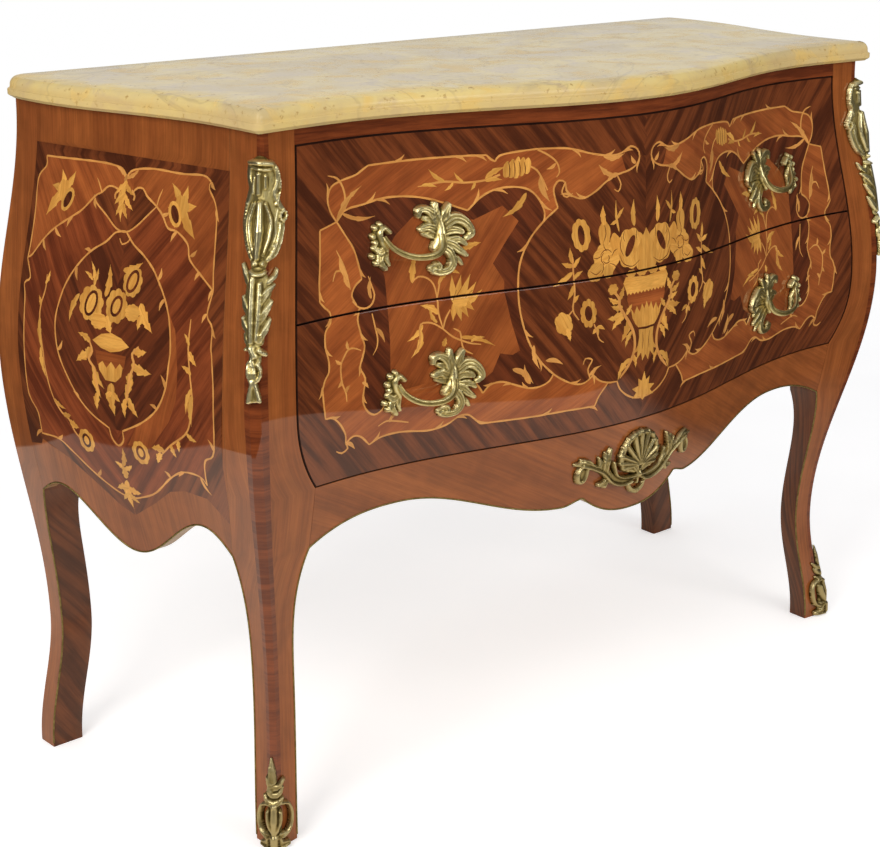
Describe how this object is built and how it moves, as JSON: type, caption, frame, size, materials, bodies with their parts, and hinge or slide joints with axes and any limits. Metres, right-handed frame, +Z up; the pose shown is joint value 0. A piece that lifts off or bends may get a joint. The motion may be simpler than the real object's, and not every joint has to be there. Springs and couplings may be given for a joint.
{
  "type": "commode chest",
  "caption": "Bombé chest of drawers with a serpentine front and splayed sides on cabriole legs, with cast corner, foot and apron mounts, fixed pulls and a moulded marble top.",
  "frame": {"origin": "on the floor under the middle of the chest", "axes": "+Z up; the drawers face -Y and open along -Y; +X is to the right for someone facing the drawers"},
  "size_m": [1.222, 0.5204, 0.87],
  "materials": {
    "marble": "polished",
    "case_veneer": "gloss",
    "inlaid_veneer": "gloss",
    "cast_brass": "satin",
    "plain_wood": "matte",
    "steel": "satin"
  },
  "bodies": {
    "case": {"marble_top": "marble", "front_apron": "case_veneer", "frieze_rail": "case_veneer", "apron_mount": "cast_brass", "back_panel": "plain_wood", "top_board": "plain_wood", "divider_board": "plain_wood", "bottom_board": "plain_wood", "front_leg_left": "case_veneer", "rear_leg_left": "case_veneer", "side_panel_left": "inlaid_veneer", "corner_mount_left": "cast_brass", "foot_mount_left": "cast_brass", "front_leg_right": "case_veneer", "rear_leg_right": "case_veneer", "side_panel_right": "inlaid_veneer", "corner_mount_right": "cast_brass", "foot_mount_right": "cast_brass", "upper_runner_left": "plain_wood", "upper_stop_left": "plain_wood", "upper_runner_right": "plain_wood", "upper_stop_right": "plain_wood", "lower_runner_left": "plain_wood", "lower_stop_left": "plain_wood", "lower_runner_right": "plain_wood", "lower_stop_right": "plain_wood"},
    "upper_drawer": {"upper_drawer_front": "inlaid_veneer", "upper_drawer_back": "plain_wood", "upper_drawer_bottom": "plain_wood", "upper_drawer_side_left": "plain_wood", "upper_pull_left": "cast_brass", "upper_drawer_side_right": "plain_wood", "upper_pull_right": "cast_brass", "upper_pull_screw_1": "steel", "upper_pull_screw_2": "steel", "upper_pull_screw_3": "steel", "upper_pull_screw_4": "steel"},
    "lower_drawer": {"lower_drawer_front": "inlaid_veneer", "lower_drawer_back": "plain_wood", "lower_drawer_bottom": "plain_wood", "lower_drawer_side_left": "plain_wood", "lower_pull_left": "cast_brass", "lower_drawer_side_right": "plain_wood", "lower_pull_right": "cast_brass", "lower_pull_screw_1": "steel", "lower_pull_screw_2": "steel", "lower_pull_screw_3": "steel", "lower_pull_screw_4": "steel"}
  },
  "joints": [
    {"name": "upper_drawer_slide", "type": "slide", "parent": "case", "child": "upper_drawer", "axis": [0, -1, 0], "range_m": [0, 0.28]},
    {"name": "lower_drawer_slide", "type": "slide", "parent": "case", "child": "lower_drawer", "axis": [0, -1, 0], "range_m": [0, 0.28]}
  ]
}
